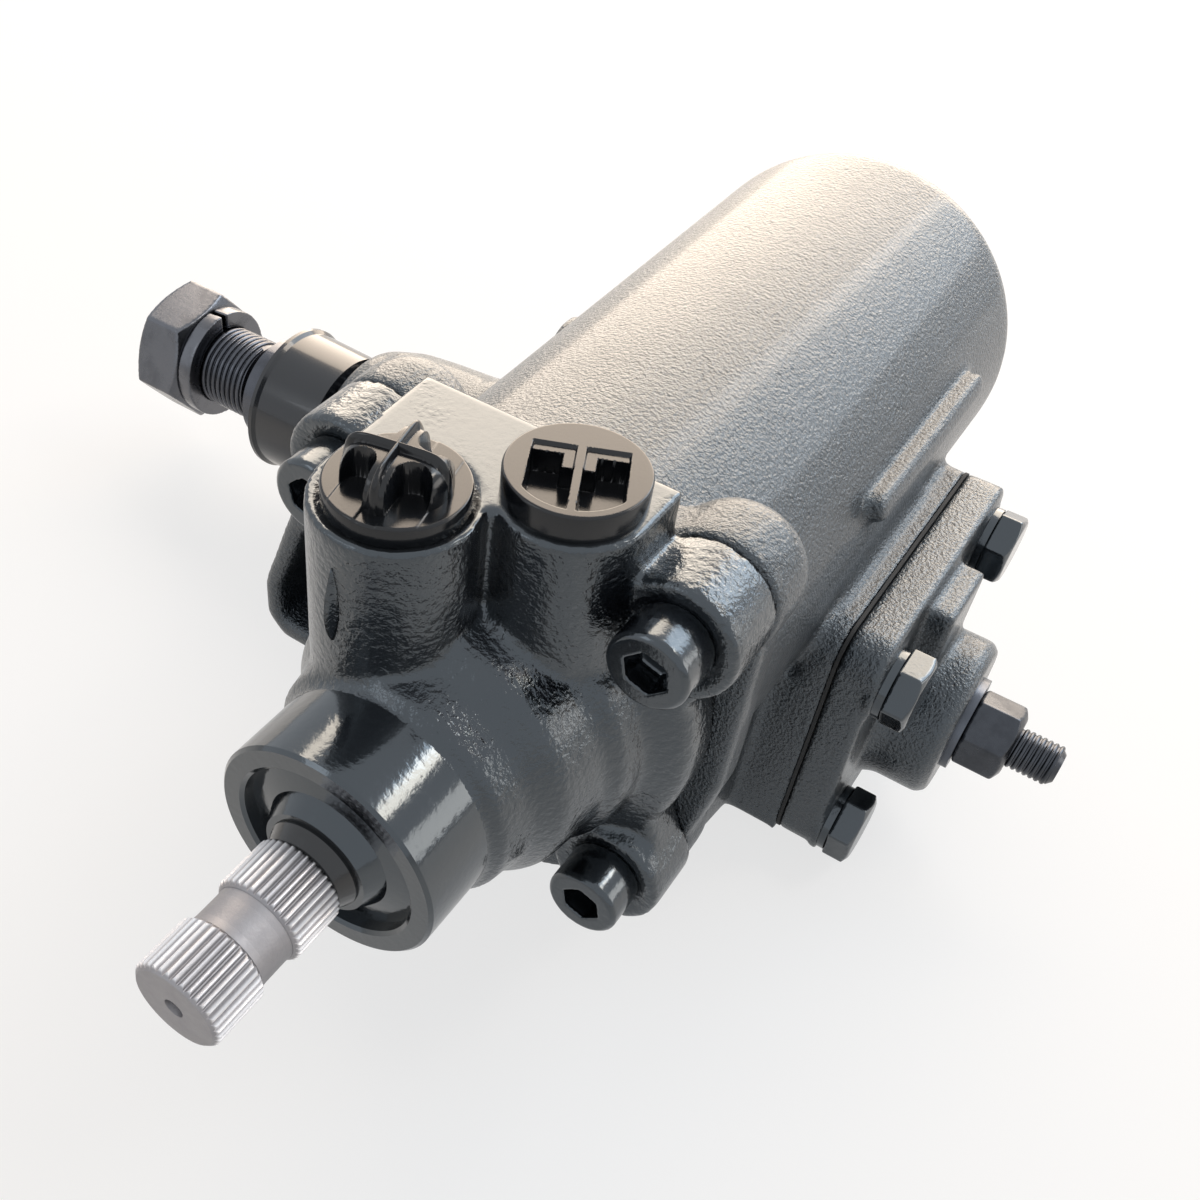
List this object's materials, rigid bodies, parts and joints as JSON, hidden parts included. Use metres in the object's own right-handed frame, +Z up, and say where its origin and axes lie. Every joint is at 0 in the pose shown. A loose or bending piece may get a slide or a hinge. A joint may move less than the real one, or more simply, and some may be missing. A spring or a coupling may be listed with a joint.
{
  "type": "power steering gear",
  "caption": "Recirculating-ball power steering gear: cast housings, serrated input shaft, plugged hose ports, side cover with adjuster, splined sector shaft with nut.",
  "frame": {"origin": "on the sector shaft's axis where it crosses the frame mounting face, at the centre of the four mounting holes", "axes": "+X along the sector shaft from the mounting face towards the side cover, +Y along the worm from the input shaft to the closed end of the cylinder, +Z up from the sector shaft to the worm and the hose ports"},
  "size_m": [0.2978, 0.2825, 0.1484],
  "materials": {
    "cast_black": "gloss black paint over a rough casting",
    "gasket_paper": "thin dark gasket",
    "black_bolt": "black painted steel",
    "oxide_steel": "dark oxide, lightly oiled",
    "spring_steel": "blued spring steel",
    "seal_rubber": "black seal rubber",
    "plug_plastic": "black moulded plastic",
    "brass": "turned brass",
    "bearing_steel": "ground bearing steel",
    "bronze": "bronze bush",
    "hard_steel": "machined and ground steel",
    "bright_steel": "bright serrated steel",
    "ring_polymer": "filled polymer seal ring"
  },
  "bodies": {
    "housing": {"gear_housing": "cast_black", "valve_housing": "cast_black", "side_cover": "cast_black", "cover_gasket": "gasket_paper", "housing_screws": "black_bolt", "cover_bolts": "black_bolt", "cover_washers": "black_bolt", "adjusting_screw": "oxide_steel", "lock_nut": "oxide_steel", "lock_nut_seal": "oxide_steel", "adjuster_shim": "spring_steel", "housing_seal_ring": "seal_rubber", "port_plug_left": "plug_plastic", "port_plug_right": "plug_plastic", "port_seats": "brass", "input_dust_seal": "seal_rubber", "input_seal": "seal_rubber", "input_snap_ring": "spring_steel", "input_bearing": "bearing_steel", "worm_thrust_race": "bearing_steel", "worm_thrust_balls": "bearing_steel", "worm_bearing_nut": "black_bolt", "sector_bearing_output": "bearing_steel", "sector_bearing_cover": "bronze", "sector_seal": "seal_rubber", "sector_dust_seal": "seal_rubber", "sector_snap_ring": "spring_steel"},
    "worm": {"worm": "hard_steel", "worm_inner_race": "bearing_steel", "valve_sleeve": "hard_steel", "valve_seal_rings": "ring_polymer", "sleeve_pin": "hard_steel"},
    "input": {"input_shaft": "bright_steel", "torsion_bar": "hard_steel", "torsion_bar_pin": "hard_steel"},
    "piston": {"rack_piston": "hard_steel", "piston_ring": "ring_polymer", "piston_end_plug": "hard_steel", "ball_nut": "hard_steel", "ball_train": "bearing_steel", "return_guide": "hard_steel", "guide_clamp": "spring_steel"},
    "sector": {"sector_shaft": "hard_steel", "sector_nut": "oxide_steel", "sector_spring_washer": "oxide_steel", "serration_sleeve": "plug_plastic"}
  },
  "joints": [
    {"name": "worm_turn", "type": "hinge", "parent": "housing", "child": "worm", "pos_m": [0.077, 0, 0.0465], "axis": [0, 1, 0], "range_deg": [-601, 601]},
    {"name": "valve_twist", "type": "hinge", "parent": "worm", "child": "input", "pos_m": [0.077, -0.15, 0.0465], "axis": [0, 1, 0], "range_deg": [-4, 4], "stiffness_Nm_per_rad": 130},
    {"name": "piston_slide", "type": "slide", "parent": "housing", "child": "piston", "axis": [0, 1, 0], "range_m": [-0.014, 0.014]},
    {"name": "sector_swing", "type": "hinge", "parent": "housing", "child": "sector", "pos_m": [0, 0, 0], "axis": [1, 0, 0], "range_deg": [-38.5, 38.5]}
  ],
  "couplings": [
    {"joint": "worm_turn", "follows": "piston_slide", "rad_per_m": -748},
    {"joint": "sector_swing", "follows": "piston_slide", "rad_per_m": -47.619}
  ]
}
